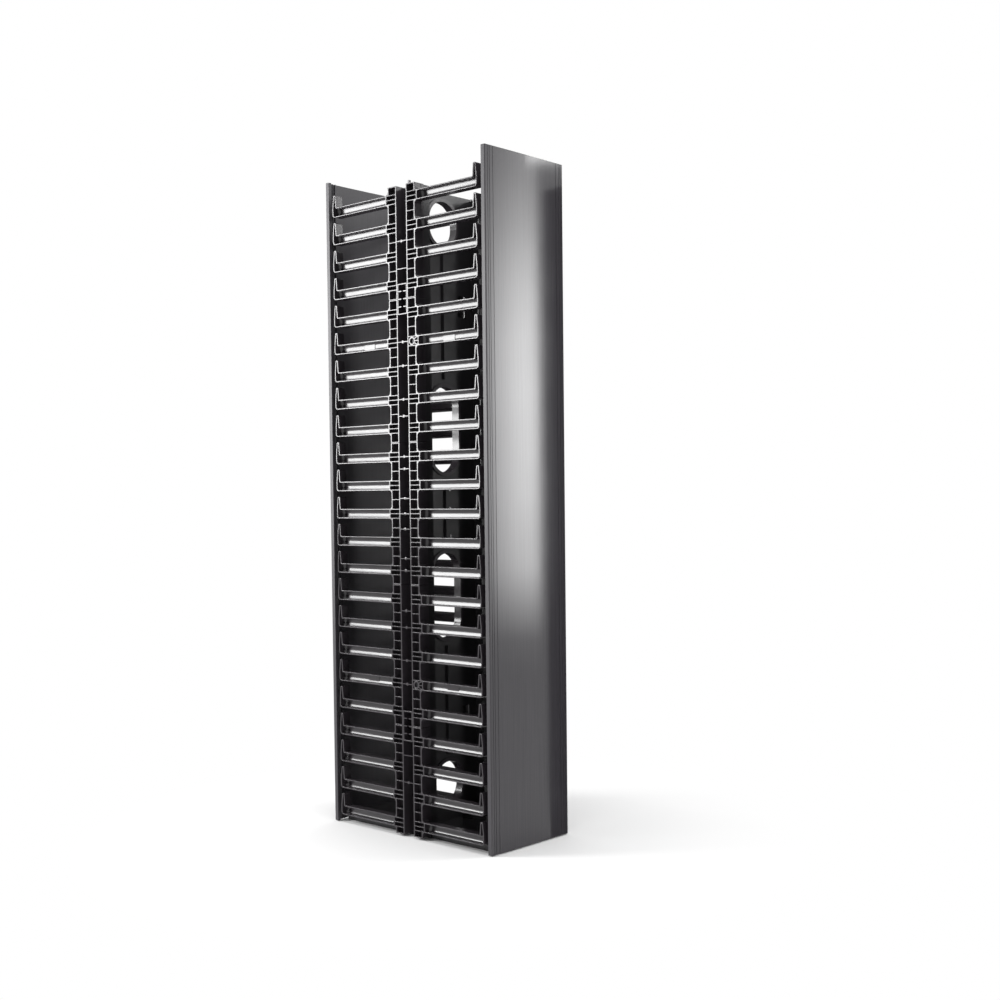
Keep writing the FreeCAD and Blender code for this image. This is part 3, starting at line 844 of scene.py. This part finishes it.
def blackCard():
    # matt black sheet that only gloss sees: painted shade, a dark reflection on one side of the gloss
    # surfaces, which blocks no light
    settings = {"Roughness": 0.9, "Base Color": hexColor(studio["cardBlack"])}
    return newMaterial("blackCard", settings)[0]


def addPaintedShadeCards():
    # flat sheets that only gloss sees, which paint dark reflections (painted shade)
    paper = blackCard()
    for number, corners in enumerate(studio["cards"], 1):
        bm = bmesh.new()
        bm.faces.new([bm.verts.new(corner) for corner in corners])
        card = meshPiece(f"blackCard{number}", bm, paper, body=None)
        # seen in gloss only, so the sheet paints a dark reflection and casts no shadow
        card.visible_camera = card.visible_diffuse = card.visible_shadow = False


def addWorld():
    # grey to the object, plain white to the camera
    world = bpy.data.worlds.new("studioWorld")
    world.use_nodes = True
    tree = world.node_tree
    ambient = tree.nodes["Background"]
    ambient.inputs["Color"].default_value = [studio["worldGrey"]] * 3 + [1]
    backdrop = addNode(tree, "ShaderNodeBackground", {"Color": plainWhite, "Strength": 1.0})
    mix = addNode(tree, "ShaderNodeMixShader", in0=seenDirectly(tree), in1=ambient.outputs["Background"],
                  in2=backdrop.outputs["Background"])
    tree.links.new(mix.outputs["Shader"], tree.nodes["World Output"].inputs["Surface"])
    bpy.context.scene.world = world


lamps = {   # place, aim, width and height in metres, power in watts
    # the combs' bright rims
    "leftRearBox": ((-1.20, 1.12, 0.92), (0, 0, 0.6), (0.58, 0.88), 28),
    # the door's long highlight, and the light at its top
    "rightFrontBox": ((1.0475, -1.20, 0.80), (0, -0.178, 0.80), (0.258, 1.45), 12.6),
    "rightTopBox": ((1.60, -1.28, 1.80), (0, 0, 1.80), (0.40, 0.56), 6),
    # general soft light
    "topBox": ((0.0, -0.3, 2.6), (0, 0, 0.5), (1.6, 1.6), 42),
}

gradedBox = {   # share of the way across or up the door's softbox, and its brightness there
    "X": ((0.0, 0.0), (0.22, 0.27), (0.4, 0.62), (0.6, 0.84), (0.83, 1.0)),
    "Y": ((0.0, 0.0), (0.06, 0.04), (0.12, 0.3), (0.19, 0.66), (0.32, 0.88), (0.5, 1.0),
          (0.6, 0.95), (0.7, 0.76), (0.8, 0.47), (0.9, 0.24), (1.0, 0.1)),
}


def softbox(name, place, aim, size, power):
    light = bpy.data.lights.new(name, "AREA")
    light.shape = "RECTANGLE"
    light.size, light.size_y = size
    light.energy = power
    lamp = bpy.data.objects.new(name, light)
    bpy.context.scene.collection.objects.link(lamp)
    lamp.location = place
    direction = (Vector(aim) - Vector(place)).normalized()
    lamp.rotation_euler = direction.to_track_quat("-Z", "Y").to_euler()
    lamp.visible_camera = False
    return lamp


def gradeLight(lamp):
    # a softbox that is brightest along one side and fades upward and downward, like one with its tube
    # at an edge
    lamp.data.use_nodes = True
    tree = lamp.data.node_tree
    spot = addNode(tree, "ShaderNodeNewGeometry").outputs["Parametric"]
    shares = addNode(tree, "ShaderNodeSeparateXYZ", Vector=spot)
    levels = []
    for axis, stops in gradedBox.items():
        ramp = addNode(tree, "ShaderNodeValToRGB", Fac=shares.outputs[axis])
        while len(ramp.color_ramp.elements) < len(stops):
            ramp.color_ramp.elements.new(0.5)
        for element, (place, level) in zip(ramp.color_ramp.elements, stops):
            element.position = place
            element.color = (level, level, level, 1)
        levels.append(ramp.outputs["Color"])
    strength = addNode(tree, "ShaderNodeMath", {"operation": "MULTIPLY"}, in0=levels[0], in1=levels[1])
    tree.links.new(strength.outputs["Value"], tree.nodes["Emission"].inputs["Strength"])


def addLights():
    boxes = {name: softbox(name, *settings) for name, settings in lamps.items()}
    gradeLight(boxes["rightFrontBox"])
    bpy.context.scene.view_settings.view_transform = "Standard"


addCamera()
addStudioFloor()
addPaintedShadeCards()
addWorld()
addLights()
print("studio done")
